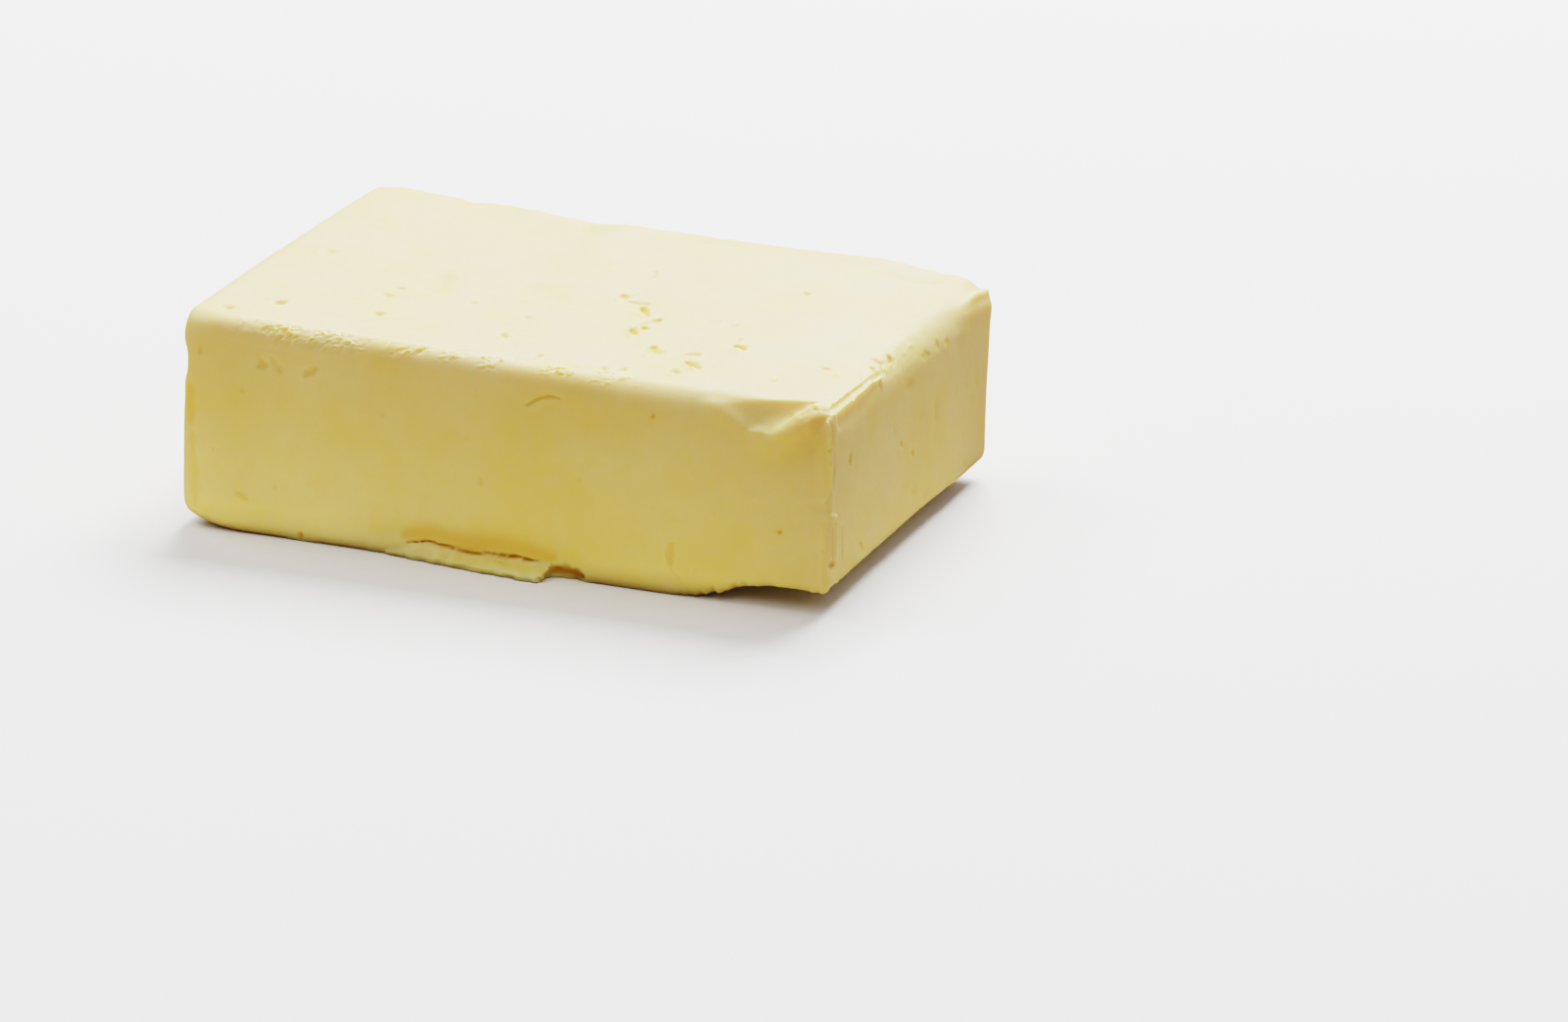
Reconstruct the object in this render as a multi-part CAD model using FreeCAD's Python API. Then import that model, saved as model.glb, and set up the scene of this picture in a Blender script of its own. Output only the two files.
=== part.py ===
import FreeCAD, Part
import math
import os

# Block of butter: one solid, standing on the flat of its underside.
# Millimetres. X runs along the length, Y from the front face to the back face, Z up.
# While it is modelled, X = 0 is mid length, Y = 0 is mid depth and Z = 0 is the flat underside.

# Overall sizes
length = 99.2               # left end to right end, at mid depth
depth = 71.0                # front face to back face, at the top
end_splay = 1.0             # how much further out each end stands at the back than at the front

# Heights of the two long top edges, at the left end, mid length and the right end
front_height_left = 31.8
front_height_middle = 30.4
front_height_right = 29.8
back_height_left = 33.8
back_height_middle = 31.6
back_height_right = 32.0    # before its corner droops
back_corner_droop = 2.4     # how far the back right corner of the top sinks
back_corner_droop_run = 20.0    # along the length, up to the right end
crown_left = 0.4            # rise of the top between its two long edges, at the left end
crown_right = 0.2           # the same at the right end

# The front face leans: how far its foot stands in front of its top, at each end
front_foot_left = 0.5
front_foot_right = -1.0

# Rounding of the long edges
front_top_round = 4.0
back_top_round = 0.8
front_foot_round = 1.8
back_foot_round = 1.4

# Rounding of each end's edges
left_top_round = 1.2
left_side_round = 1.8
left_foot_round = 1.6
right_top_round = 2.2
right_side_round = 1.1
right_foot_round = 0.9

# Both ends of the underside are bent up, clear of what the block stands on
right_lift_height = 3.3
right_lift_run = 15.0       # length of the slope
right_lift_end_gap = 9.0    # from the top of the slope to the right end
left_lift_height = 2.6
left_lift_run = 17.0        # length of the slope, which ends at the left end

# Fold crease: a three-sided dent where the wrapping was tucked in at the front right corner
crease_length = 14.5        # along the top edge
crease_end_gap = 3.0        # from the dent to the right end
crease_bite_left = 1.2      # from the front face back to the left end of its straight upper edge
crease_bite_right = 4.4     # the same at the right end of that edge
crease_left_sink = 0.8      # how far below the top that left end starts, on the rounded edge
crease_drop = 5.8           # how far its point reaches down the front face
crease_point_gap = 10.6     # from its point to the right end
crease_flare = 12.0         # how far the cutting body runs out in front of the face
crease_overcut = 0.4        # how far the cutting body stands above the front edge of the top

# Groove along the right top edge, widest at the front
groove_length = 32.0
groove_radius_front = 0.8
groove_radius_back = 0.2
groove_start_gap = 1.5      # from the front face to where the groove starts
groove_inset = 0.9          # from the right end to the groove's middle

# Lip: a thin tongue torn from the foot of the front face, pressed outwards and lying flat
lip_left_gap = 32.5         # from the left end to the tip of the tongue
lip_length = 25.0
lip_reach = 3.0             # how far it stands out from the front face at its free end
lip_root_height = 2.4       # where its upper side leaves the front face
lip_edge_height = 0.9       # thickness of its free edge
lip_root_sink = 2.0         # how far it is carried into the block, so that the two are one

station_count = 7           # sections along the plain stretch of the loft
foot_allowance = 0.6        # the loft reaches this far below the flat that is cut

half_length = length / 2
half_depth = depth / 2


def vector(x, y, z):
    return FreeCAD.Vector(x, y, z)


def through_three(left, middle, right, x):
    """Value at x of the smooth curve that has these values at the left end, mid length and right end."""
    t = x / half_length
    return middle + t * (right - left) / 2 + t * t * ((right + left) / 2 - middle)


def between_ends(left, right, x):
    """Value at x on the straight line from the left end's value to the right end's."""
    return left + (right - left) * (x + half_length) / length


def end_inset(x, left_round, right_round):
    """How far a side is drawn in near an end, on a quarter circle of that end's radius."""
    radius = left_round if x < 0 else right_round
    from_end = half_length - abs(x)
    if from_end >= radius:
        return 0.0
    return radius - math.sqrt(radius ** 2 - (radius - from_end) ** 2)


def soft_step(share):
    """Rises from 0 to 1 with level ends as share goes from 0 to 1."""
    share = min(max(share, 0.0), 1.0)
    return share * share * (3 - 2 * share)


def foot_lift(x):
    """Height of the underside at x: level in the middle, bent up at each end."""
    right_slope_start = half_length - right_lift_end_gap - right_lift_run
    left_slope_start = -half_length + left_lift_run
    right_lift = right_lift_height * soft_step((x - right_slope_start) / right_lift_run)
    left_lift = left_lift_height * max((left_slope_start - x) / left_lift_run, 0.0) ** 2
    return right_lift + left_lift


def front_height(x):
    return through_three(front_height_left, front_height_middle, front_height_right, x)


def back_height(x):
    """Height of the back top edge at x, with the droop of the right corner."""
    into_droop = max((x - (half_length - back_corner_droop_run)) / back_corner_droop_run, 0.0)
    edge = through_three(back_height_left, back_height_middle, back_height_right, x)
    return edge - back_corner_droop * into_droop ** 2


def corner_arc(before, corner, after, radius):
    """The three points of the arc that rounds a corner between two straight sides."""
    to_before = (before - corner).normalize()
    to_after = (after - corner).normalize()
    half_angle = to_before.getAngle(to_after) / 2
    along = radius / math.tan(half_angle)
    bisector = (to_before + to_after).normalize()
    centre = corner + bisector * (radius / math.sin(half_angle))
    return corner + to_before * along, centre - bisector * radius, corner + to_after * along


def section_wire(x):
    """Closed outline of the block across its length at x, seen along X."""
    side_in = end_inset(x, left_side_round, right_side_round)
    top_in = end_inset(x, left_top_round, right_top_round)
    foot_in = end_inset(x, left_foot_round, right_foot_round)

    front_top_z = front_height(x) - top_in
    back_top_z = back_height(x) - top_in
    foot_z = foot_lift(x) - foot_allowance + foot_in
    front_foot_y = -half_depth - between_ends(front_foot_left, front_foot_right, x) + side_in
    front_top_y = -half_depth + side_in
    back_y = half_depth - side_in

    def at(y, z):
        return vector(x + end_splay * (x / half_length) * (y / depth), y, z)

    front_foot = at(front_foot_y, foot_z)
    front_top = at(front_top_y, front_top_z)
    back_top = at(back_y, back_top_z)
    back_foot = at(back_y, foot_z)
    crown = (front_top + back_top) / 2 + vector(0, 0, between_ends(crown_left, crown_right, x))

    round_1 = corner_arc(back_foot, front_foot, front_top, front_foot_round)
    round_2 = corner_arc(front_foot, front_top, back_top, front_top_round)
    round_3 = corner_arc(front_top, back_top, back_foot, back_top_round)
    round_4 = corner_arc(back_top, back_foot, front_foot, back_foot_round)
    edges = [
        Part.Arc(*round_1).toShape(),
        Part.LineSegment(round_1[2], round_2[0]).toShape(),
        Part.Arc(*round_2).toShape(),
        Part.Arc(round_2[2], crown, round_3[0]).toShape(),
        Part.Arc(*round_3).toShape(),
        Part.LineSegment(round_3[2], round_4[0]).toShape(),
        Part.Arc(*round_4).toShape(),
        Part.LineSegment(round_4[2], round_1[0]).toShape(),
    ]
    return Part.Wire(edges)


def station_places():
    """Where the sections stand: close together round each end and over the slope, wide apart between."""
    left_round = max(left_top_round, left_side_round, left_foot_round)
    right_round = max(right_top_round, right_side_round, right_foot_round)
    end_steps = (0.0, 0.12, 0.4, 1.0)
    slope_steps = (0.0, 0.25, 0.5, 0.75, 1.0)
    slope_start = half_length - right_lift_end_gap - right_lift_run
    plain_start = -half_length + left_round
    plain_step = (slope_start - plain_start) / station_count
    places = [-half_length + left_round * step for step in end_steps]
    places += [plain_start + plain_step * number for number in range(1, station_count)]
    places += [slope_start + right_lift_run * step for step in slope_steps]
    places += [half_length - right_round * step for step in reversed(end_steps)]
    return places


def make_body():
    """The block with all its edges rounded, cut off level at the underside."""
    body = Part.makeLoft([section_wire(x) for x in station_places()], True, False)
    height_limit = 2 * back_height_left
    above_ground = Part.makeBox(2 * length, 2 * depth, height_limit, vector(-length, -depth, 0))
    return body.common(above_ground)


def make_tetrahedron(a, b, c, d):
    """Solid with four corners and four flat faces."""
    triangles = [(a, b, c), (a, b, d), (b, c, d), (c, a, d)]
    faces = [Part.Face(Part.makePolygon([p, q, r, p])) for p, q, r in triangles]
    solid = Part.Solid(Part.Shell(faces))
    if solid.Volume < 0:
        solid.reverse()
    return solid


def make_crease_cutter():
    """What the fold takes out of the front top edge: straight along the top, pointed on the front face."""
    right_x = half_length - crease_end_gap
    point_x = half_length - crease_point_gap
    top_z = front_height(right_x) + crease_overcut
    left_x = right_x - crease_length
    left = vector(left_x, -half_depth + crease_bite_left, front_height(left_x) - crease_left_sink)
    right = vector(right_x, -half_depth + crease_bite_right, top_z)
    point = vector(point_x, -half_depth, front_height(point_x) - crease_drop)
    outside = vector(point_x, -half_depth - crease_flare, top_z)
    return make_tetrahedron(left, right, point, outside)


def make_groove_cutter():
    """Tapered rod that presses the groove into the rounded right top edge, its axis in the surface."""
    groove_x = half_length - groove_inset
    drop = end_inset(groove_x, left_top_round, right_top_round)
    start = vector(groove_x - end_splay / 2, -half_depth + groove_start_gap, front_height(groove_x) - drop)
    rise = (back_height(groove_x) - front_height(groove_x)) / depth
    direction = vector(end_splay / depth, 1, rise)
    return Part.makeCone(groove_radius_front, groove_radius_back, groove_length, start, direction)


def lip_section(x, height_share, reach_share):
    """Section of the torn lip across its length, its sizes given as shares of the full ones."""
    face_y = -half_depth - between_ends(front_foot_left, front_foot_right, x)
    edge_y = face_y - lip_reach * reach_share
    root = vector(x, face_y + lip_root_sink, lip_root_height * height_share)
    face = vector(x, face_y, lip_root_height * height_share)
    edge_top = vector(x, edge_y, lip_edge_height * height_share)
    edge_foot = vector(x, edge_y, 0)
    root_foot = vector(x, face_y + lip_root_sink, 0)
    return Part.makePolygon([root, face, edge_top, edge_foot, root_foot, root])


def make_lip():
    """The torn tongue, growing from its tip on the left to a blunt free end on the right."""
    tip_x = -half_length + lip_left_gap
    growth = (              # place along the tongue, height share, reach share
        (0.0, 0.3, 0.1),
        (0.2, 0.9, 0.3),
        (0.5, 1.0, 0.65),
        (0.8, 0.95, 0.95),
        (1.0, 0.8, 1.0),
    )
    sections = [lip_section(tip_x + lip_length * place, high, far) for place, high, far in growth]
    return Part.makeLoft(sections, True, True)


def make_block():
    block = make_body()
    block = block.cut(make_crease_cutter())
    block = block.cut(make_groove_cutter())
    block = block.fuse(make_lip())
    box = block.optimalBoundingBox(False, False)
    block.translate(vector(-box.Center.x, -box.Center.y, 0))
    return block


os.makedirs("parts", exist_ok=True)
butter_block = make_block()
butter_block.exportStep("parts/butter_block.step")
print("solids", len(butter_block.Solids), "valid", butter_block.isValid())
print("volume in cubic centimetres", round(butter_block.Volume / 1000, 2))
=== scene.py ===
import math
import random
import bmesh
import bpy
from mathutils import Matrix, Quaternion, Vector, noise
from mathutils.bvhtree import BVHTree
from mathutils.kdtree import KDTree


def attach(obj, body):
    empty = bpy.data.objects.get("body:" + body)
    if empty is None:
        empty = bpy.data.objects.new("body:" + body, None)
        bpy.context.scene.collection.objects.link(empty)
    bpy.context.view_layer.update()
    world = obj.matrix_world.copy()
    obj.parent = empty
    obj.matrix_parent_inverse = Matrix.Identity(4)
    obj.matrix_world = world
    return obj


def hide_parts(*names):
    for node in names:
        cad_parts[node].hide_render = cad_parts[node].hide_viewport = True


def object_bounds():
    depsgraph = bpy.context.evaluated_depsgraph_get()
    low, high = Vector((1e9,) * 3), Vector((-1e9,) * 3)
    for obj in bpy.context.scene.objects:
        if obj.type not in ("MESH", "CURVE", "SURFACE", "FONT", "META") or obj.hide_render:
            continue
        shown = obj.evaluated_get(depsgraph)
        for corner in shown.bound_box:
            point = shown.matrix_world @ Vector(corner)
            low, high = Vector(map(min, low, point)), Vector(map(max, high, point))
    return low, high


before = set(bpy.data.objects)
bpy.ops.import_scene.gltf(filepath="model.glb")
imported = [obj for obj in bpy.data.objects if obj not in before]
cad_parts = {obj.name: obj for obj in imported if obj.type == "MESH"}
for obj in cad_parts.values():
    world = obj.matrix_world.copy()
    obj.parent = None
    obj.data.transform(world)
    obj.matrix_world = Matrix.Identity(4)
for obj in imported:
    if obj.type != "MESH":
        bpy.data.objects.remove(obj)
cadLow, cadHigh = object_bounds()
scene = bpy.context.scene
mm = 0.001                                     # lengths are in millimetres unless a note says otherwise
print("frame loaded, block is", [round((b - a) / mm, 1) for a, b in zip(cadLow, cadHigh)], "mm")

cameraSetup = {
    "aim": (43.1, -36.2, 15.6),                # from the bottom centre of the block
    "distance": 669.8,
    "azimuth": 18.9,                           # degrees, from the front towards the right end
    "elevation": 18.45,
    "roll": 1.95,
    "lens": 112.5,
    "sensor": 36,
    "clip": (0.01, 50),                        # metres
}


def makeCamera(setup):
    data = bpy.data.cameras.new("camera")
    data.lens = setup["lens"]
    data.sensor_width = setup["sensor"]
    data.clip_start, data.clip_end = setup["clip"]
    camera = bpy.data.objects.new("camera", data)
    scene.collection.objects.link(camera)
    turn, rise = math.radians(setup["azimuth"]), math.radians(setup["elevation"])
    back = Vector((math.sin(turn) * math.cos(rise), -math.cos(turn) * math.cos(rise), math.sin(rise)))
    foot = Vector(((cadLow.x + cadHigh.x) / 2, (cadLow.y + cadHigh.y) / 2, cadLow.z))
    camera.location = foot + Vector(setup["aim"]) * mm + back * setup["distance"] * mm
    camera.rotation_mode = "QUATERNION"
    roll = Quaternion((0, 0, 1), math.radians(setup["roll"]))
    camera.rotation_quaternion = (-back).to_track_quat("-Z", "Y") @ roll
    scene.camera = camera


makeCamera(cameraSetup)

blockSetup = {
    "weld": 0.002,                             # vertices of the CAD mesh closer than this are one
    "sliver": 0.003,                           # edges shorter than this are collapsed at the end
    "voxel": 0.9,                              # size of the even quads
    "swell": 0.22,                             # slow unevenness of every face
    "swellSize": 17.0,
    "ripple": 0.05,                            # finer unevenness
    "rippleSize": 4.0,
    "crumble": 0.32,                           # height of the torn crumbs along the top's front edge
    "crumbleWidth": 3.2,                       # half the width of their band
    "raggedFoot": 0.5,                         # ragged lower edge by the right end
    "frontRound": 4.0,                         # rounding of the front edge of the top
    "frontPower": 2.7,                         # above 2 its left part is tighter
    "endRound": 5.0,                           # rounding over the right end, behind the groove
    "edgeRound": 2.2,                          # the same at its back corner
    "foldCrumbs": 34,                          # crumbs on the right arm of the fold
    "grooveCrumbs": 70,                        # crumbs behind the groove over the right end
    "lipLumps": 46,                            # lumps along the rim of the torn lip
    "looseMarks": 70,                          # small pits over the sides with no marks of their own
    "seed": 11,
}


def mergedCad(node):
    bm = bmesh.new()
    bm.from_mesh(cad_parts[node].data)
    bmesh.ops.remove_doubles(bm, verts=bm.verts, dist=blockSetup["weld"] * mm)
    return bm


def evenMesh(bm, name, voxel):
    # a skin of even quads over the merged copy
    rough = bpy.data.meshes.new(name + "Rough")
    bm.to_mesh(rough)
    holder = bpy.data.objects.new(name + "Rough", rough)
    scene.collection.objects.link(holder)
    remesh = holder.modifiers.new("remesh", "REMESH")
    remesh.mode = "VOXEL"
    remesh.voxel_size = voxel * mm
    bpy.context.view_layer.update()
    even = bpy.data.meshes.new_from_object(holder.evaluated_get(bpy.context.evaluated_depsgraph_get()))
    bpy.data.objects.remove(holder)
    bpy.data.meshes.remove(rough)
    out = bmesh.new()
    out.from_mesh(even)
    bpy.data.meshes.remove(even)
    return out


def snapTo(bm, surface):
    for v in bm.verts:
        v.co = surface.find_nearest(v.co)[0]


def refine(bm, inside):
    edges = [e for e in bm.edges if inside(e.verts[0].co / mm) and inside(e.verts[1].co / mm)]
    bmesh.ops.subdivide_edges(bm, edges=edges, cuts=1, use_grid_fill=True)


def softStep(low, high, value):
    t = min(1.0, max(0.0, (value - low) / (high - low)))
    return t * t * (3 - 2 * t)


source = mergedCad("butter_block")
surface = BVHTree.FromBMesh(source)
bm = evenMesh(source, "butter", blockSetup["voxel"])
snapTo(bm, surface)
print("even skin:", len(bm.verts), "vertices")


far = 200                                      # well outside the block
midHeight = 15
endMargin = 4.5                                # keeps clear of the rounding over the right end
edgeMargin = 6                                 # keeps clear of the rounding of the front edge


def hit(start, way):
    # a ray that runs exactly along an edge may slip through, so it is tried again a hair to the side
    for aside in (0, 0.01, -0.013):
        place = surface.ray_cast((Vector(start) + Vector((aside, aside, 0))) * mm, Vector(way))[0]
        if place:
            return place / mm
    return None


def topAt(x, y):
    return hit((x, y, far), (0, 0, -1))


def frontAt(x, z):
    return hit((x, -far, z), (0, 1, 0))


def backAt(x, z):
    return hit((x, far, z), (0, -1, 0))


def rightAt(y, z):
    return hit((far, y, z), (-1, 0, 0))


def leftAt(y, z):
    return hit((-far, y, z), (1, 0, 0))


frontY = frontAt(0, midHeight).y
backY = cadHigh.y / mm
rightX = rightAt(0, midHeight).x
leftX = leftAt(0, midHeight).x
edgeHeights, faceDepths = {}, {}


def edgeHeight(x):
    # height that the top and the front face would meet at
    key = round(x)
    if key not in edgeHeights:
        inner = min(rightX - endMargin, max(leftX + 2, key))
        edgeHeights[key] = topAt(inner, frontY + edgeMargin).z
    return edgeHeights[key]


def faceY(x):
    # where the front face stands below the rounding
    key = round(x)
    if key not in faceDepths:
        inner = min(rightX - endMargin, max(leftX + 3, key))
        faceDepths[key] = frontAt(inner, edgeHeight(key) - edgeMargin).y
    return faceDepths[key]


def endX(y):
    # where the right end stands at that depth
    return rightAt(y, midHeight).x


def byFrontEdge(p, reach):
    return p.y - frontY < reach and edgeHeight(p.x) - p.z < reach


# tears and pits in the top: path, width, depth, darker paste with painted shade in them, flap
topTears = (
    (((8.4, -0.8), (9.4, -3.0), (10.4, -4.6)), 0.7, 0.5, 0.9, 0.15),
    (((3.6, 3.6), (4.4, 1.8)), 1.2, 0.35, 0.5, 0.1),
    (((5.6, 1.0), (8.6, 0.8)), 0.7, 0.25, 0.45, 0),
    (((12.6, -5.0), (12.2, -6.6), (11.2, -9.0)), 1.0, 0.4, 0.5, 0.15),
    (((12.2, -9.9),), 0.5, 0.5, 0.9, 0),
    (((10.5, -10.8), (11.9, -13.4)), 0.7, 0.45, 0.75, 0.15),
    (((16.3, -17.0), (16.9, -20.6)), 0.8, 0.4, 0.6, 0.15),
    (((17.8, -19.2),), 0.7, 0.3, 0.4, 0),
    (((27.0, -12.2), (28.4, -13.4)), 0.9, 0.6, 0.95, 0.2),
    (((26.2, -8.8), (26.4, -10.6)), 0.5, 0.2, 0.25, 0),
    (((20.0, -3.2),), 0.9, 0.2, 0.25, 0),
    (((23.0, -3.6),), 0.8, 0.2, 0.25, 0),
    (((22.0, -18.3), (23.2, -18.0)), 0.9, 0.35, 0.4, 0.1),
    (((23.0, -21.6), (25.4, -23.6)), 1.0, 0.4, 0.65, 0.15),
    (((22.6, -25.6), (23.2, -27.0)), 0.7, 0.3, 0.45, 0.1),
    (((27.4, 15.6), (27.8, 14.2)), 0.8, 0.25, 0.3, 0),
    (((41.3, -15.7), (42.1, -16.4)), 0.6, 0.3, 0.35, 0.1),
    (((43.4, -18.2),), 0.5, 0.2, 0.3, 0),
    (((36.6, -24.4),), 0.6, 0.2, 0.2, 0),
    (((3.9, 15.8), (4.2, 11.6)), 0.7, 0.2, 0.2, 0),
    (((-38.4, -23.4),), 1.0, 0.45, 0.5, 0),
    (((-44.0, -29.0),), 1.0, 0.3, 0.3, 0),
    (((-26.0, -9.6),), 0.7, 0.25, 0.25, 0),
    (((-26.4, -13.6),), 0.9, 0.25, 0.25, 0),
    (((-24.0, -21.6),), 0.8, 0.35, 0.35, 0),
    (((-14.0, -10.6),), 0.6, 0.2, 0.2, 0),
    (((-4.6, -12.8),), 0.6, 0.25, 0.3, 0),
    (((-4.9, -21.2), (-4.2, -22.8)), 0.7, 0.3, 0.4, 0.1),
    (((-42.2, 1.2),), 1.3, 0.25, 0.2, 0),
    (((46.4, -7.6), (48.0, -8.6)), 0.9, 0.4, 0.5, 0.1),
    (((47.4, -4.2), (48.6, -5.4)), 0.8, 0.35, 0.4, 0),
    (((47.0, -11.2), (48.4, -12.4)), 0.8, 0.4, 0.6, 0.1),
    (((3.4, -27.4), (3.0, -30.0)), 0.6, 0.25, 0.4, 0.1),
    (((13.2, -28.4), (13.6, -30.0)), 0.6, 0.25, 0.35, 0.1),
    (((16.0, -27.6), (15.6, -29.6)), 0.6, 0.25, 0.35, 0.1),
    (((-23.0, -1.0), (-21.0, -8.0)), 4.0, 0.3, 0.12, 0),
    (((-10.0, 2.0), (-5.0, -3.0)), 4.5, 0.3, 0.12, 0),
    (((-35.0, 35.0), (-32.6, 35.2)), 2.4, 0.3, 0.4, 0),
    (((-14.2, 34.4), (-12.2, 31.4)), 2.2, 0.3, 0.28, 0),
    (((2.0, 34.2), (10.0, 33.2)), 2.2, 0.25, 0.22, 0),
    (((35.0, 30.4), (42.0, 31.2)), 2.6, 0.3, 0.22, 0),
)

# pits and dents in the front face: path, width, lift, darker paste with painted shade in them, orange
# specks
frontMarks = (
    (((-36.8, 25.3), (-35.6, 25.7)), 1.2, -0.25, 0.34, 0.1),
    (((-34.8, 26.8), (-33.4, 24.8)), 1.0, -0.2, 0.2, 0),
    (((-29.6, 24.8), (-28.0, 26.0)), 1.0, -0.22, 0.26, 0.2),
    (((-45.6, 27.2), (-45.9, 26.0)), 0.7, -0.15, 0.4, 0),
    (((-47.6, 20.6), (-47.3, 16.0)), 2.0, -0.12, 0.55, 0),
    (((-47.0, 14.0), (-46.6, 3.6)), 1.3, -0.1, 0.35, 0),
    (((-39.3, 21.4),), 0.5, -0.15, 0.5, 0),
    (((-43.6, 12.4),), 0.5, -0.15, 0.35, 0),
    (((-39.8, 6.1), (-38.5, 5.4)), 0.9, -0.15, 0.6, 0),
    (((-34.2, 7.6),), 0.5, -0.12, 0.4, 0),
    (((-28.0, 17.6),), 0.4, -0.1, 0.3, 0),
    (((-17.6, 20.5),), 0.5, -0.12, 0.4, 0),
    (((-16.4, 15.6), (-16.0, 14.8)), 0.5, 0.12, 0, 0),
    (((-4.8, 18.8),), 0.4, -0.1, 0.35, 0),
    (((-2.9, 13.4), (-2.4, 12.3)), 0.7, -0.15, 0.3, 0),
    (((-3.2, 12.2), (-2.9, 11.9)), 0.4, 0.1, 0, 0),
    (((4.2, 25.0), (6.0, 26.2), (7.6, 26.7), (8.9, 26.5)), 0.5, -0.28, 0.5, 0),
    (((4.6, 24.4), (6.2, 25.5), (7.8, 25.9)), 0.6, 0.15, 0, 0),
    (((22.9, 25.9),), 0.45, -0.1, 0.4, 0.6),
    (((12.2, 15.0),), 0.4, -0.1, 0.4, 0),
    (((41.7, 11.5),), 0.5, -0.15, 0.6, 0.7),
    (((32.2, 13.0),), 0.4, -0.1, 0.35, 0),
    (((26.0, 7.6), (25.9, 5.0)), 1.0, -0.22, 0.25, 0),
    (((26.9, 8.0), (25.6, 8.2), (24.9, 6.8), (25.1, 5.0), (25.9, 3.6), (27.2, 2.6)), 0.45, 0.2, 0, 0),
    (((-30.3, 0.5), (-30.2, 1.3)), 0.7, -0.4, 0.9, 0.1),
)

# marks in the right end: path, width, lift, darker paste with painted shade in them
endMarks = (
    (((-26.0, 21.3), (-25.8, 20.2)), 0.9, -0.35, 0.6),
    (((-4.6, 17.0), (-4.0, 16.4)), 0.6, -0.2, 0.4),
    (((0.6, 14.0), (1.6, 13.7)), 0.7, -0.2, 0.45),
    (((4.6, 27.3), (7.2, 27.0)), 1.3, -0.15, 0.5),
    (((14.6, 26.8), (15.8, 26.6)), 1.1, -0.12, 0.45),
    (((-32.7, 7.4), (-31.3, 6.9)), 1.4, -0.5, 0.5),
    (((-20.8, 6.8), (-19.4, 4.9)), 0.7, -0.2, 0.3),
    (((-32.4, 12.6), (-32.0, 7.6)), 0.7, -0.2, 0.2),
    (((-30.9, 13.0), (-31.0, 8.0)), 0.5, 0.15, 0),
    (((-28.6, 11.6), (-28.0, 6.4)), 0.6, -0.15, 0.1),
)


def topPath(*points):
    return [topAt(x, y) for x, y in points]


def frontPath(*points):
    return [frontAt(x, z) for x, z in points]


def endPath(*points):
    return [rightAt(y, z) for y, z in points]


def spaced(path, step):
    # points along a path, at most that far apart
    points = list(path)
    for start, end in zip(path, path[1:]):
        parts = math.ceil((end - start).length / step)
        points += [start.lerp(end, part / parts) for part in range(1, parts)]
    return points


def pointFinder(points):
    tree = KDTree(len(points))
    for number, point in enumerate(points):
        tree.insert(point, number)
    tree.balance()
    return tree


detailStep = 0.6
detailPoints = []                              # places that get a finer mesh
for points, width, depth, pasteAndShade, flap in topTears:
    detailPoints += spaced(topPath(*points), detailStep) if width < 1.5 else []
for points, width, lift, pasteAndShade, speckAndShade in frontMarks:
    detailPoints += spaced(frontPath(*points), detailStep)
for points, width, lift, pasteAndShade in endMarks:
    detailPoints += spaced(endPath(*points), detailStep)
detailFinder = pointFinder(detailPoints)


def byMark(p, reach):
    return detailFinder.find(p)[2] < reach


def byRightEdge(p, reach):
    return rightX - p.x < reach and edgeHeight(p.x) - p.z < reach


refine(bm, lambda p: byFrontEdge(p, 6) or byMark(p, 2.2) or byRightEdge(p, 5))
refine(bm, lambda p: byMark(p, 1.3))
refine(bm, lambda p: byFrontEdge(p, 4.6) and -47 < p.x < 22)           # crumbly edge
refine(bm, lambda p: byFrontEdge(p, 7.5) and p.x > 30)                 # folded corner
refine(bm, lambda p: byRightEdge(p, 2.6) and p.y < 0)                  # groove over the right end
for reach in (1.5, 1.0):                                               # torn lip
    refine(bm, lambda p: -18 - reach < p.x < 13 + reach and p.y < frontY + reach and p.z < 3.6 + reach)
for reach in (2.0, 1.2):                                               # ragged foot
    refine(bm, lambda p: p.x > 26 - reach and p.y < frontY + reach and p.z < 4.5 + reach)
for reach in (3.0, 2.0):                                               # front right corner
    refine(bm, lambda p: p.x > rightX - reach and p.y < frontY + reach + 1.5 and p.z < 26)
snapTo(bm, surface)
bmesh.ops.recalc_face_normals(bm, faces=bm.faces)
bm.normal_update()
bm.verts.ensure_lookup_table()
bm.verts.index_update()
print("refined skin:", len(bm.verts), "vertices,", sum(len(f.verts) - 2 for f in bm.faces), "triangles")

pasteAndShadeLayer = bm.verts.layers.float.new("pasteAndShade")      # how much darker paste shows, and painted shade in pits, tears, cracks and hollows
speckAndShadeLayer = bm.verts.layers.float.new("speckAndShade")    # orange specks, and painted warm shade in the crack and the hollow by the lip
places = [v.co / mm for v in bm.verts]
normals = [v.normal.copy() for v in bm.verts]
finder = pointFinder(places)
upwards, rightwards, backwards = Vector((0, 0, 1)), Vector((1, 0, 0)), Vector((0, 1, 0))


def nearPath(path, p):
    # distance to the path, and how far along it from 0 to 1
    if len(path) == 1:
        return (p - path[0]).length, 0.5
    best = (math.inf, 0.0)
    for number in range(len(path) - 1):
        start, run = path[number], path[number + 1] - path[number]
        share = min(1.0, max(0.0, (p - start).dot(run) / run.length_squared))
        gap = (start + run * share - p).length
        if gap < best[0]:
            best = (gap, (number + share) / (len(path) - 1))
    return best


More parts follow.
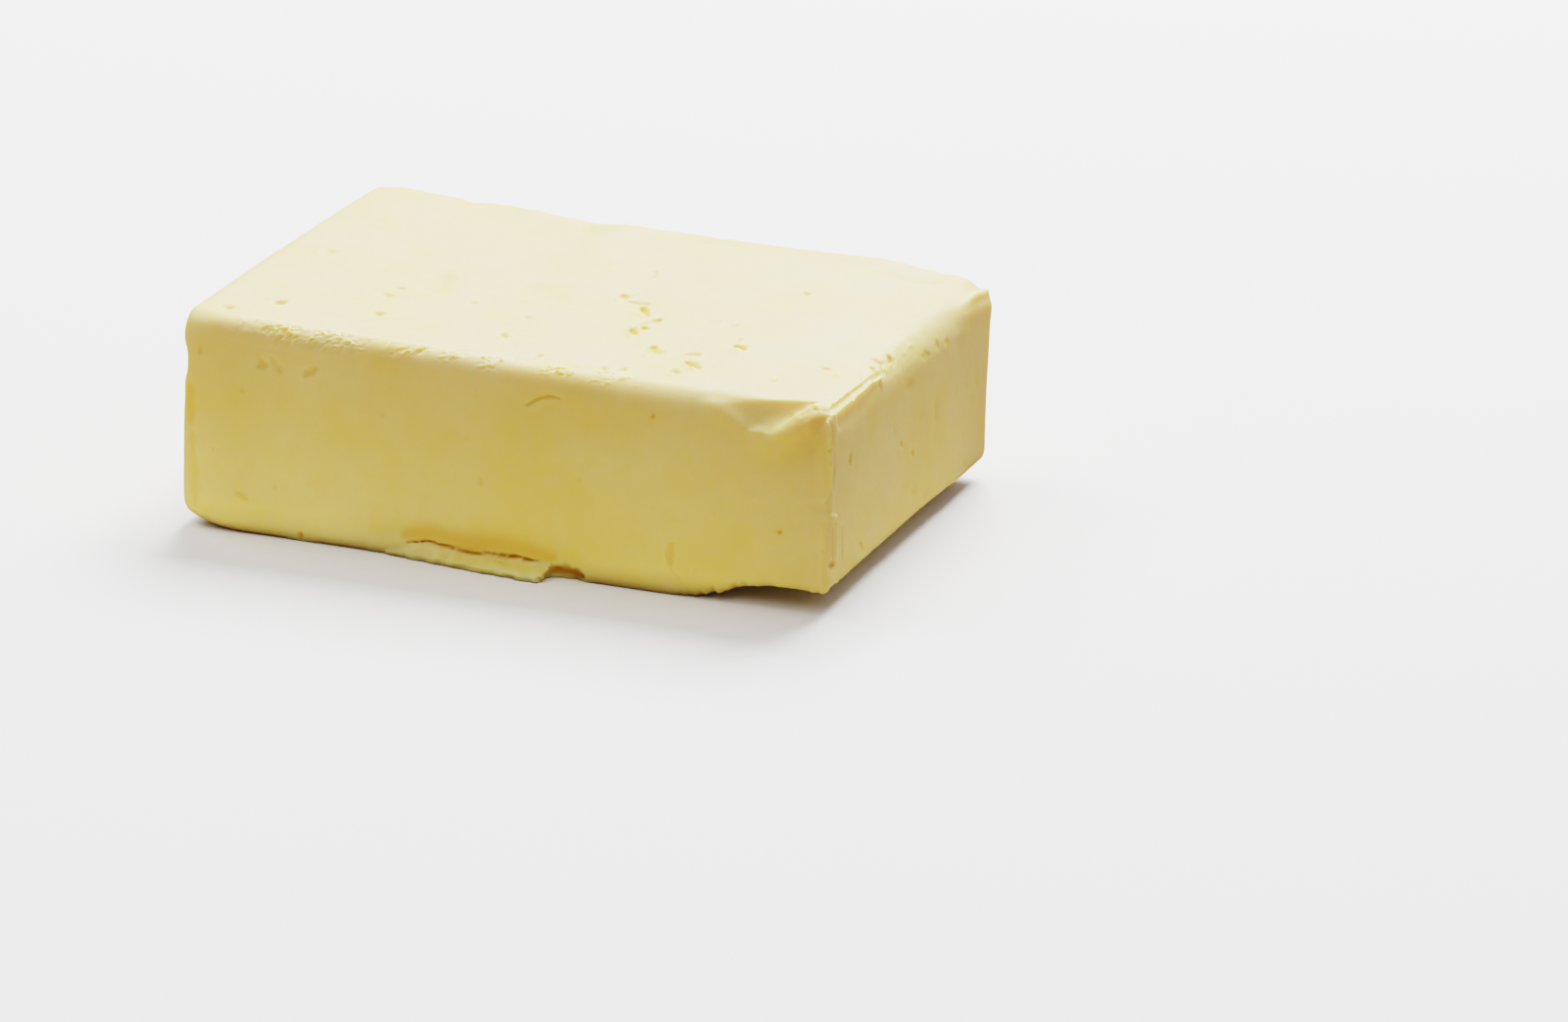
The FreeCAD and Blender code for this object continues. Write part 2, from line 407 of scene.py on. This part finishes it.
def stroke(path, width, lift, pasteAndShade=0.0, speckAndShade=0.0, ragged=0.4, taper=0.5, way=None):
    # lifts the skin along a path, or presses it in where lift is negative, and paints darker paste with
    # painted shade and orange specks with painted warm shade along it
    close = set()
    for point in spaced(path, width):
        close.update(number for _, number, _ in finder.find_range(point, width * 1.6))
    for number in sorted(close):
        p = places[number]
        gap, share = nearPath(path, p)
        gap *= 1 + ragged * noise.noise(p / (width * 0.9))
        if len(path) > 1:
            gap /= 1 - taper * (2 * share - 1) ** 2
        if gap >= width:
            continue
        strength = (1 - (gap / width) ** 2) ** 2
        v = bm.verts[number]
        v.co += (way or normals[number]) * (lift * strength * mm)
        v[pasteAndShadeLayer] = max(v[pasteAndShadeLayer], pasteAndShade * strength)
        v[speckAndShadeLayer] = max(v[speckAndShadeLayer], speckAndShade * strength)


def shifted(path, x=0.0, y=0.0, z=0.0):
    return [p + Vector((x, y, z)) for p in path]


def tear(path, width, depth, pasteAndShade, flap):
    # a slit, painted darker as shade, with a small flap standing up on its near side
    stroke(path, width, -depth, pasteAndShade)
    if flap:
        stroke(shifted(path, y=-width * 0.9), width * 0.8, flap)


def shapeEdge(v, across, up, outwards, radius, power, share):
    # moves a vertex of an upper edge on to a rounding of that radius
    # a power of 2 is a plain rounding, and a higher one is tighter
    if across <= 0 or up <= 0:
        return
    aim = radius / (across ** power + up ** power) ** (1 / power)
    share *= softStep(0, 1.2, min(across, up))
    v.co += (outwards * across + Vector((0, 0, up))) * ((aim - 1) * share * mm)


# slow unevenness everywhere, pressed inwards so that the block keeps its size
for v, p, n in zip(bm.verts, places, normals):
    if p.z < 0.4 and n.z < -0.5:
        continue
    swell = noise.noise(p / blockSetup["swellSize"] + Vector((3.7, 1.2, 9.4)))
    ripple = noise.fractal(p / blockSetup["rippleSize"], 0.8, 2.1, 3)
    v.co += n * ((blockSetup["swell"] * (swell - 0.5) + blockSetup["ripple"] * ripple) * mm)

# the front edge is tighter on its left part, and broad from there to the fold
for v, p in zip(bm.verts, places):
    if byFrontEdge(p, 6):
        radius = blockSetup["frontRound"]
        across, up = faceY(p.x) + radius - p.y, p.z - edgeHeight(p.x) + radius
        power = 2 + (blockSetup["frontPower"] - 2) * (1 - softStep(8, 18, p.x))
        share = softStep(leftX + 2, leftX + 7, p.x) * (1 - softStep(26, 31, p.x))
        shapeEdge(v, across, up, -backwards, radius, power, share)

# the edge over the right end is soft behind the groove, and crisp at its back corner
for v, p in zip(bm.verts, places):
    if p.x > rightX - 8 and p.z > 22 and p.y > -16:
        level = min(p.y, backY - 3)
        side, high = endX(level), topAt(rightX - 8, level).z
        wide, tight = blockSetup["endRound"], blockSetup["edgeRound"]
        soft = softStep(-15, -6, p.y) * (1 - softStep(20, 27, p.y))
        shapeEdge(v, p.x - side + wide, p.z - high + wide, rightwards, wide, 2, soft)
        crisp = 0.75 * softStep(backY - 13, backY - 5, p.y)
        shapeEdge(v, p.x - side + tight, p.z - high + tight, rightwards, tight, 2.6, crisp)

for points, width, depth, pasteAndShade, flap in topTears:
    small = 1.3 if width < 1 else 1.0
    tear(topPath(*points), width * 1.2 * small, depth * 1.4, min(1.0, pasteAndShade * 1.5), flap * 1.5)

for points, width, lift, pasteAndShade, speckAndShade in frontMarks:
    stroke(frontPath(*points), width, lift, pasteAndShade, speckAndShade, ragged=0.7)

for points, width, lift, pasteAndShade in endMarks:
    stroke(endPath(*points), width, lift, pasteAndShade)


def soften(inside, times):
    chosen = [v for v, p in zip(bm.verts, places) if inside(p)]
    for _ in range(times):
        bmesh.ops.smooth_vert(bm, verts=chosen, factor=0.5,
                              use_axis_x=True, use_axis_y=True, use_axis_z=True)


# folded corner: two arms round the dent, the right one a bright crumbly ridge
soften(lambda p: 30 < p.x < 41 and byFrontEdge(p, 9) and p.z < 29.4, 6)
soften(lambda p: p.x > 45.5 and byRightEdge(p, 3.5) and p.y < frontY + 4, 4)
soften(lambda p: p.x > 44 and byRightEdge(p, 6) and -19 < p.y < -3, 8)
upOut = Vector((0, -0.5, 0.86))
leftArm = frontPath((39.0, 24.2), (37.4, 24.7), (35.4, 25.9), (33.2, 27.4), (31.0, 28.4))
rightArm = frontPath((38.6, 24.2), (40.6, 24.9), (42.4, 26.1), (44.4, 27.7), (46.4, 29.1))
stroke(leftArm, 3.0, 0.3, way=upOut, ragged=0.1)
stroke(shifted(rightArm, x=-0.4, y=0.3, z=0.3), 3.0, 0.85, way=upOut, ragged=0.1, taper=0.3)
stroke(shifted(rightArm, x=0.5, z=-0.8), 2.0, 1.1, way=Vector((0.1, -1, 0.3)), ragged=0.1, taper=0.4)
# a shallow trough under the right arm, painted darker as shade
stroke(frontPath((41.8, 22.4), (44.4, 23.8), (47.0, 25.4)), 2.0, -0.2, pasteAndShade=0.12, ragged=0.2)
soften(lambda p: 28 < p.x < 45.6 and byFrontEdge(p, 8) and p.z < 29.4, 16)
soften(lambda p: 31 < p.x < 44.6 and frontY + 1.6 < p.y < frontY + 8 and p.z > 28, 10)
stroke(topPath((rightX - 0.9, frontY + 1.0)), 2.4, 0.9, way=upwards, ragged=0.1)
dice = random.Random(blockSetup["seed"])
# crumbs on the right arm, painted with a little shade
for _ in range(blockSetup["foldCrumbs"]):
    along = dice.uniform(44.0, 47.6)
    spot = frontPath((along, 27.7 + (along - 44) * 0.42 + dice.uniform(-0.5, 0.6)))
    stroke(spot, dice.uniform(0.3, 0.55), dice.uniform(-0.2, 0.26), pasteAndShade=0.1, way=upOut)

# the edge over the right end: its groove is made shallower and painted darker as shade along its
# bottom, and gets a raised outer ridge and crumbs, some of them painted with a little shade
grooveMiddle = topPath(*[(endX(y) - 1.0, y) for y in (-32, -27, -22, -16)])
stroke(grooveMiddle, 1.3, 0.35, pasteAndShade=0.2, way=upwards, ragged=0.2, taper=0.2)
soften(lambda p: byRightEdge(p, 3.4) and -33 < p.y < -13, 7)
outerRidge = topPath(*[(endX(y) - 0.35, y) for y in (-32, -29, -25, -21, -17, -13)])
stroke(outerRidge, 1.0, 0.4, way=Vector((0.1, 0, 1)), ragged=0.5, taper=0.3)
crumbWay = Vector((0.3, 0, 0.95))
for _ in range(blockSetup["grooveCrumbs"]):
    y = dice.uniform(-32, 6)
    spot = topPath((endX(y) - dice.uniform(0.4, 3.2), y))
    stroke(spot, dice.uniform(0.45, 1.0), dice.uniform(-0.16, 0.2), pasteAndShade=dice.uniform(0, 0.15),
           way=crumbWay)
stroke(endPath((-31, 27.4), (-26, 27.4), (-20, 27.6), (-14, 28.2)), 2.2, -0.3, ragged=0.2, taper=0.4)

# the upright edge at the front right corner: a thin raised skin, folds and a cross ridge under it
cornerTop = [rightAt(frontY + 0.45 + 0.25 * math.sin(z * 0.7), z)
             for z in (27.6, 26.4, 25, 23, 21, 19, 17, 15)]
cornerFoot = [rightAt(frontY + 0.6, z) for z in (14, 12, 10, 8, 6)]
crossRidge = frontPath((45.6, 14.9), (48.4, 14.7)) + endPath((-33.0, 14.4), (-31.0, 14.0))
outwards = Vector((0.75, -0.66, 0))
stroke(cornerTop, 0.55, 0.4, way=outwards, ragged=0.3, taper=0.3)
stroke(cornerFoot, 0.6, 0.22, way=outwards, ragged=0.5)
# a shallow trough behind the raised skin, painted darker as shade
stroke(shifted(cornerTop, y=1.0), 0.8, -0.2, pasteAndShade=0.12)
stroke(crossRidge, 0.8, 0.5, way=Vector((0.6, -0.5, 0.3)), ragged=0.2)
folds = (
    (((47.2, 12.8), (47.0, 6.2)), 0.7, -0.12),
    (((47.9, 13.6), (47.9, 5.0)), 0.6, 0.14),
    (((46.2, 24.0), (46.4, 15.0)), 1.2, -0.14),
)
for points, width, lift in folds:
    stroke(frontPath(*points), width, lift)

# torn lip at the foot: a crack above it painted dark orange as shade, lumps along its rim, a hollow
# beyond its free end painted as dark warm shadow
crack = frontPath((-13.8, 2.3), (-12.4, 2.5), (-10.6, 2.9), (-8.6, 2.6), (-6.2, 2.4), (-3.8, 2.2),
                  (-1.9, 2.35), (-0.1, 2.3), (2.6, 2.5), (4.4, 2.3), (5.9, 2.1), (8.1, 1.9))
hollow = frontPath((8.7, 1.0), (10.0, 0.9), (11.4, 0.8), (12.4, 0.6))
for _ in range(blockSetup["lipLumps"]):
    x = dice.uniform(-13, 8)
    spot = frontPath((x, dice.uniform(0.7, 2.0)))
    stroke(spot, dice.uniform(0.7, 1.5), dice.uniform(-0.1, 0.18), way=upOut)
# painted shade on the lip just under the crack, and warm painted shade on the face above the crack
stroke(shifted(crack, y=-1.2, z=-0.9), 1.8, 0, pasteAndShade=0.55)
stroke(shifted(crack, z=1.2), 2.8, -0.12, pasteAndShade=0.5, speckAndShade=0.3, ragged=0.3)
stroke(crack, 0.33, 1.0, pasteAndShade=1.0, speckAndShade=0.5, ragged=0.5, taper=0.6, way=Vector((0, 0.95, -0.3)))
stroke(hollow, 1.5, 1.2, pasteAndShade=1.0, speckAndShade=0.55, taper=0.3, way=backwards)
stroke(frontPath((11.2, 1.8),), 0.5, 0.3)
# a broad band above the lip, pressed in a little and painted with light shade
stroke(frontPath((-19, 3.8), (-8, 4.8), (4, 4.6), (12, 3.4)), 3.2, -0.12, pasteAndShade=0.25, ragged=0.2)
for v, p in zip(bm.verts, places):
    if p.y < frontY - 0.15 and p.z < 3:
        out = softStep(0.1, 2.0, frontY - p.y)
        v.co.y += out * 0.45 * noise.noise(Vector((p.x / 2.0, p.z / 1.8, 4.2))) * mm
        ripple = noise.noise(Vector((p.x / 1.5, p.y / 2.5, 7.7)))
        v.co.z += out * 0.2 * ripple * mm * softStep(0.1, 0.6, p.z)
        v.co.x += 0.5 * softStep(5.6, 7.6, p.x) * noise.noise(Vector((p.y / 1.5, p.z / 1.2, 1.3))) * mm

# dent in the upright edge at the front left
for heights, width in (((27.0, 22.4), 3.2), ((23.6, 22.2), 1.7)):
    dent = [leftAt(frontY + 1.5, z) for z in heights]
    stroke(dent, width, 0.55, way=rightwards, ragged=0.15)

# the top climbs a little more towards the back edge, and drops at the back right corner
for v, p in zip(bm.verts, places):
    if p.y > 4 and p.z > 23:
        climb = 0.7 * softStep(-13, -8, p.x) * (1 - softStep(33, 42, p.x))
        climb += 0.35 * softStep(-49, -45, p.x) * (1 - softStep(-24, -19, p.x))
        climb *= softStep(backY - 30, backY - 3, p.y)
        drop = 0.8 * softStep(45.5, 48.5, p.x) * softStep(backY - 8, backY - 1, p.y)
        v.co.z += (climb - drop) * softStep(23, 29.5, p.z) * mm

# the back edge has a slow rise towards the left, and small knocks towards the right end
for v, p in zip(bm.verts, places):
    if p.y > backY - 9 and p.z > 27:
        near = softStep(backY - 9, backY - 1.5, p.y) * softStep(27, 29, p.z)
        rise = 0.45 * math.exp(-((p.x + 21) / 8) ** 2)
        knock = 0.3 * noise.noise(Vector((p.x / 2.2, 0.4, 3.3)))
        knock += 0.16 * noise.noise(Vector((p.x / 0.9, 5.1, 0.2)))
        v.co.z += (rise + knock * (0.25 + 0.75 * softStep(30, 37, p.x))) * near * mm

# the lower edge of the right end runs a little higher behind the front corner
for v, p in zip(bm.verts, places):
    if p.x > rightX - 3.5 and p.z < 8:
        low = 1 - softStep(4.5, 8, p.z)
        behind = softStep(frontY + 0.9, frontY + 2.6, p.y) * (1 - 0.6 * softStep(-20, 30, p.y))
        v.co.z += 0.8 * low * behind * softStep(rightX - 3.5, rightX - 1, p.x) * mm

# and is ragged next to that corner
for v, p in zip(bm.verts, places):
    if p.x > rightX - 2 and p.y < -22 and 0.5 < p.z < 7:
        share = (1 - softStep(4.6, 6.6, p.z)) * (1 - softStep(-30, -22, p.y))
        share *= softStep(-33.6, -32.6, p.y)
        v.co.z += 0.55 * max(-0.2, noise.noise(Vector((p.y / 0.8, 3.4, 0.6)))) * share * mm

# small loose pits on the back, the left end and the far part of the right end, painted darker inside as
# shade
for _ in range(blockSetup["looseMarks"]):
    side = dice.choice("bblr")
    high = dice.uniform(3, 28)
    if side == "b":
        spot = backAt(dice.uniform(-46, 46), high)
    elif side == "l":
        spot = leftAt(dice.uniform(-30, 33), high)
    else:
        spot = rightAt(dice.uniform(-10, 34), high)
    turn = Vector([dice.uniform(-1, 1) for _ in range(3)]) * dice.uniform(0.2, 1.4)
    strength = dice.uniform(0.3, 1.0)
    stroke([spot, spot + turn], 0.5 + 0.8 * strength, -0.3 * strength, pasteAndShade=0.55 * strength)


def crumbs(x, over):
    # crumbs lean to the right as they climb over the edge, and are finer and steeper towards the left
    lean = math.radians(63 - 17 * softStep(-22, -8, x))
    run = x * math.cos(lean) + over * math.sin(lean)
    across = over * math.cos(lean) - x * math.sin(lean)
    coarse = noise.noise(Vector((run / 1.8, across / 0.7, 3.1)))
    small = noise.noise(Vector((run / 0.8, across / 0.5, 1.4)))
    fine = noise.noise(Vector((run / 0.6, across / 0.36, 8.7)))
    coarse += (small - coarse) * (1 - softStep(-26, -16, x))
    patch = noise.noise(Vector((x / 3.2, over / 2.0, 5.5)))
    return coarse, fine, patch


for v, p, n in zip(bm.verts, places, normals):
    high = edgeHeight(p.x)
    if not byFrontEdge(p, 7):
        continue
    over = (p.y - frontY) - (high - p.z)
    middle = 0.1 + 1.3 * softStep(-26, -12, p.x) + 1.1 * softStep(6, 12, p.x)
    band = max(0.0, 1 - ((over - middle) / blockSetup["crumbleWidth"]) ** 2)
    if band == 0 or p.x < leftX + 3 or p.x > 22:
        continue
    span = softStep(-43, -33, p.x) * (1 - softStep(18, 21, p.x))
    sparse = softStep(-24, -14, p.x)           # further right they come in patches
    coarse, fine, patch = crumbs(p.x, over)
    torn = band * span * softStep(-0.6 + 0.55 * sparse, -0.05 + 0.3 * sparse, patch)
    v.co += n * (torn * blockSetup["crumble"] * (coarse + max(0.0, fine) * 1.6 - 0.1) * mm)
    # painted shade in the low parts of the crumbs
    v[pasteAndShadeLayer] = max(v[pasteAndShadeLayer], torn * 0.12 * softStep(0.12, 0.5, -coarse))

# the ragged lower edge by the right end, with one tooth hanging down
for v, p, n in zip(bm.verts, places, normals):
    if p.z > 7 or p.z < 0.05:
        continue
    front = softStep(24, 30, p.x) * (1 - softStep(frontY + 1.0, frontY + 2.6, p.y))
    if front > 0:
        underside = hit((min(p.x, rightX - 1), frontY + 8, -50), (0, 0, 1)).z
        lower = 1 - softStep(0.6, 2.4, p.z - underside)
        teeth = noise.noise(Vector((p.x / 0.9, 2.2, 0.7)))
        teeth += 0.5 * noise.noise(Vector((p.x / 0.35, 6.1, 1.9)))
        fade = 1 - 0.6 * softStep(37, 46, p.x)
        drop = 0.7 * max(0.0, 1 - abs(p.x - 33.2) / 1.1)
        v.co.z += (blockSetup["raggedFoot"] * teeth * fade - drop) * front * lower * mm

bm.normal_update()


def keepInside(bm, low, high):
    for v in bm.verts:
        v.co = [min(max(c, a), b) for c, a, b in zip(v.co, low, high)]


keepInside(bm, cadLow, cadHigh)
bmesh.ops.dissolve_degenerate(bm, dist=blockSetup["sliver"] * mm, edges=bm.edges)
bmesh.ops.triangulate(bm, faces=[face for face in bm.faces if len(face.verts) > 4])
print("open or shared edges:", sum(not edge.is_manifold for edge in bm.edges))
blockMesh = bpy.data.meshes.new("butterBlock")
bm.to_mesh(blockMesh)
bm.free()
source.free()
for polygon in blockMesh.polygons:
    polygon.use_smooth = True
block = bpy.data.objects.new("butterBlock", blockMesh)
scene.collection.objects.link(block)
print("block sculpted")

butterLook = {
    "pale": (0.885, 0.72, 0.315, 1),
    "warm": (0.88, 0.685, 0.235, 1),
    "mottle": (0.875, 0.695, 0.27, 1),
    "pasteAndShade": (0.82, 0.60, 0.09, 1),             # darker paste colour, also used as painted shade in pits, tears, cracks and hollows
    # orange specks, also painted as warm shade in the crack and the hollow by the lip
    "speckAndShade": (0.75, 0.30, 0.03, 1),
    "broadSize": 14,                           # patches of the warm paste
    "mottleSize": 2.6,
    "ior": 1.46,
    "roughness": 0.5,
    "sheenSize": 6,                            # greasier and drier patches
    "sheenSpread": 0.07,
    "scatter": 0.8,
    "scatterColour": (1.0, 0.6, 0.2),
    "scatterDepth": 0.0025,                    # metres
    "dragTurn": 14,                            # degrees
    "dragScale": (1400, 160, 120),             # per metre, so lines run along Y and up the faces
    "dragHeight": 0.05,
    "grainSize": 0.45,
    "grainHeight": 0.03,
}


def addNode(tree, kind, place, **settings):
    made = tree.nodes.new(kind)
    made.location = place
    for name, value in settings.items():
        setattr(made, name, value)
    return made


def makeButter(look):
    material = bpy.data.materials.new("butter")
    material.use_nodes = True
    tree = material.node_tree
    link = tree.links.new
    shader = tree.nodes["Principled BSDF"]
    shader.inputs["IOR"].default_value = look["ior"]
    shader.inputs["Subsurface Weight"].default_value = look["scatter"]
    shader.inputs["Subsurface Radius"].default_value = look["scatterColour"]
    shader.inputs["Subsurface Scale"].default_value = look["scatterDepth"]
    coords = addNode(tree, "ShaderNodeTexCoord", (-1500, 0))

    def clouds(size, detail, y):
        # soft noise whose patches are about that many millimetres
        made = addNode(tree, "ShaderNodeTexNoise", (-1200, y))
        made.inputs["Scale"].default_value = 1 / (size * mm)
        made.inputs["Detail"].default_value = detail
        link(coords.outputs["Object"], made.inputs["Vector"])
        return made

    def spread(source, low, high, y):
        made = addNode(tree, "ShaderNodeMapRange", (-950, y), interpolation_type="SMOOTHSTEP")
        made.inputs["From Min"].default_value = low
        made.inputs["From Max"].default_value = high
        link(source, made.inputs["Value"])
        return made.outputs["Result"]

    def blend(amount, first, second, place):
        made = addNode(tree, "ShaderNodeMix", place, data_type="RGBA")
        link(amount, made.inputs[0])
        for socket, value in ((made.inputs[6], first), (made.inputs[7], second)):
            if isinstance(value, tuple):
                socket.default_value = value
            else:
                link(value, socket)
        return made.outputs[2]

    broad = spread(clouds(look["broadSize"], 3, 300).outputs["Fac"], 0.35, 0.68, 300)
    mottle = spread(clouds(look["mottleSize"], 4, 100).outputs["Fac"], 0.45, 0.75, 100)
    # painted shade: the darker paste colour is mixed in where pits, tears, cracks and hollows lie in
    # shade
    pasteAndShade = addNode(tree, "ShaderNodeAttribute", (-950, -150), attribute_name="pasteAndShade")
    speckAndShade = addNode(tree, "ShaderNodeAttribute", (-950, -350), attribute_name="speckAndShade")
    paste = blend(broad, look["pale"], look["warm"], (-650, 300))
    paste = blend(mottle, paste, look["mottle"], (-450, 250))
    paste = blend(pasteAndShade.outputs["Fac"], paste, look["pasteAndShade"], (-250, 200))
    # orange specks, and painted warm shade in the crack and the hollow by the lip
    paste = blend(speckAndShade.outputs["Fac"], paste, look["speckAndShade"], (-50, 150))
    link(paste, shader.inputs["Base Color"])

    # greasier and drier patches
    sheen = addNode(tree, "ShaderNodeMapRange", (-650, -100))
    sheen.inputs["To Min"].default_value = look["roughness"] - look["sheenSpread"]
    sheen.inputs["To Max"].default_value = look["roughness"] + look["sheenSpread"]
    link(clouds(look["sheenSize"], 3, -100).outputs["Fac"], sheen.inputs["Value"])
    link(sheen.outputs["Result"], shader.inputs["Roughness"])

    # faint drag lines of the knife, and a fine grain
    drag = addNode(tree, "ShaderNodeMapping", (-1300, -600))
    drag.inputs["Rotation"].default_value = (0, 0, math.radians(look["dragTurn"]))
    drag.inputs["Scale"].default_value = look["dragScale"]
    lines = addNode(tree, "ShaderNodeTexNoise", (-1100, -600))
    lines.inputs["Scale"].default_value = 1
    lines.inputs["Detail"].default_value = 3
    link(coords.outputs["Object"], drag.inputs["Vector"])
    link(drag.outputs["Vector"], lines.inputs["Vector"])
    grain = clouds(look["grainSize"], 3, -800)

    def bump(height, distance, place):
        made = addNode(tree, "ShaderNodeBump", place)
        made.inputs["Strength"].default_value = 1
        made.inputs["Distance"].default_value = distance * mm
        link(height.outputs["Fac"], made.inputs["Height"])
        return made

    dragBump = bump(lines, look["dragHeight"], (-300, -500))
    grainBump = bump(grain, look["grainHeight"], (-100, -500))
    link(dragBump.outputs["Normal"], grainBump.inputs["Normal"])
    link(grainBump.outputs["Normal"], shader.inputs["Normal"])
    return material


blockMesh.materials.append(makeButter(butterLook))
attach(block, "root")
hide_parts("butter_block")
print("butter block done")

stageSetup = {
    "floorSize": 6.0,                          # metres
    "floorColour": (1.0, 1.0, 1.0, 1),
    "bounceColour": (0.34, 0.255, 0.18, 1),    # what the floor throws back on the block
}


def makeFloor(setup):
    bm = bmesh.new()
    bmesh.ops.create_grid(bm, x_segments=1, y_segments=1, size=setup["floorSize"] / 2)
    data = bpy.data.meshes.new("floor")
    bm.to_mesh(data)
    bm.free()
    floor = bpy.data.objects.new("floor", data)
    floor.location.z = cadLow.z
    scene.collection.objects.link(floor)
    material = bpy.data.materials.new("floorPaper")
    material.use_nodes = True
    tree = material.node_tree
    tree.nodes.clear()
    out = addNode(tree, "ShaderNodeOutputMaterial", (600, 0))
    mix = addNode(tree, "ShaderNodeMixShader", (400, 0))
    path = addNode(tree, "ShaderNodeLightPath", (0, 300))
    bounce = addNode(tree, "ShaderNodeBsdfDiffuse", (0, 0))
    seen = addNode(tree, "ShaderNodeBsdfDiffuse", (0, -200))
    bounce.inputs["Color"].default_value = setup["bounceColour"]
    seen.inputs["Color"].default_value = setup["floorColour"]
    tree.links.new(path.outputs["Is Camera Ray"], mix.inputs[0])
    tree.links.new(bounce.outputs[0], mix.inputs[1])
    tree.links.new(seen.outputs[0], mix.inputs[2])
    tree.links.new(mix.outputs[0], out.inputs[0])
    data.materials.append(material)


# lights round the block, their sizes and distance in metres
lightDistance = 1.5
lights = {
    "key": {"way": (0, 0.8, 1), "size": 0.9, "watts": 42, "colour": (1, 1, 1)},
    "left": {"way": (-0.7, 0, 1), "size": 0.9, "watts": 10, "colour": (1, 1, 1)},
    "right": {"way": (0.7, 0, 1), "size": 0.9, "watts": 0.9, "colour": (0.8, 0.97, 1.9)},
    "front": {"way": (0, -0.8, 1), "size": 0.9, "watts": 3.6, "colour": (1, 0.96, 0.86)},
    "back": {"way": (-0.3, 1, 0.3), "size": 1.2, "watts": 5, "colour": (1, 1, 1)},
}


def makeLight(name, setup):
    data = bpy.data.lights.new(name, "AREA")
    data.shape = "SQUARE"
    data.size = setup["size"]
    data.energy = setup["watts"]
    data.color = setup["colour"]
    light = bpy.data.objects.new(name, data)
    way = Vector(setup["way"]).normalized()
    light.location = way * lightDistance
    light.rotation_euler = way.to_track_quat("Z", "Y").to_euler()
    scene.collection.objects.link(light)


# soft light thrown back on the block from close by
glowHeight = 0.3                               # above the floor
glows = {
    "frontGlow": {"middle": (-8, -48.5), "size": (110, 22), "watts": 0.0076, "colour": (1, 0.91, 0.53)},
    "leftGlow": {"middle": (-44, -52), "size": (46, 28), "watts": 0.004, "colour": (1, 0.96, 0.75)},
    "rightGlow": {"middle": (60, -6), "size": (18, 62), "watts": 0.0026, "colour": (1, 0.95, 0.7)},
    "cornerGlow": {"middle": (30, -43), "size": (40, 9), "watts": 0.0012, "colour": (1, 0.92, 0.58)},
}


def makeGlow(name, setup):
    data = bpy.data.lights.new(name, "AREA")
    data.shape = "RECTANGLE"
    data.size, data.size_y = [side * mm for side in setup["size"]]
    data.energy = setup["watts"]
    data.color = setup["colour"]
    glow = bpy.data.objects.new(name, data)
    glow.location = Vector((*setup["middle"], 0)) * mm
    glow.location.z = cadLow.z + glowHeight * mm
    glow.rotation_euler = (math.pi, 0, 0)      # faces up
    glow.visible_camera = False
    glow.visible_glossy = False
    scene.collection.objects.link(glow)


makeFloor(stageSetup)
for name, setup in lights.items():
    makeLight(name, setup)
for name, setup in glows.items():
    makeGlow(name, setup)

roomSetup = {"strength": 0.16, "seenStrength": 0.85}    # seen directly it is as pale as the floor


def makeRoom(setup):
    world = bpy.data.worlds.new("room")
    world.use_nodes = True
    tree = world.node_tree
    background = tree.nodes["Background"]
    background.inputs["Color"].default_value = (1, 1, 1, 1)
    path = addNode(tree, "ShaderNodeLightPath", (-500, 0))
    strength = addNode(tree, "ShaderNodeMapRange", (-250, 0))
    strength.inputs["To Min"].default_value = setup["strength"]
    strength.inputs["To Max"].default_value = setup["seenStrength"]
    tree.links.new(path.outputs["Is Camera Ray"], strength.inputs["Value"])
    tree.links.new(strength.outputs["Result"], background.inputs["Strength"])
    scene.world = world


makeRoom(roomSetup)
scene.view_settings.view_transform = "Filmic"
scene.view_settings.look = "High Contrast"
print("floor and lights done")
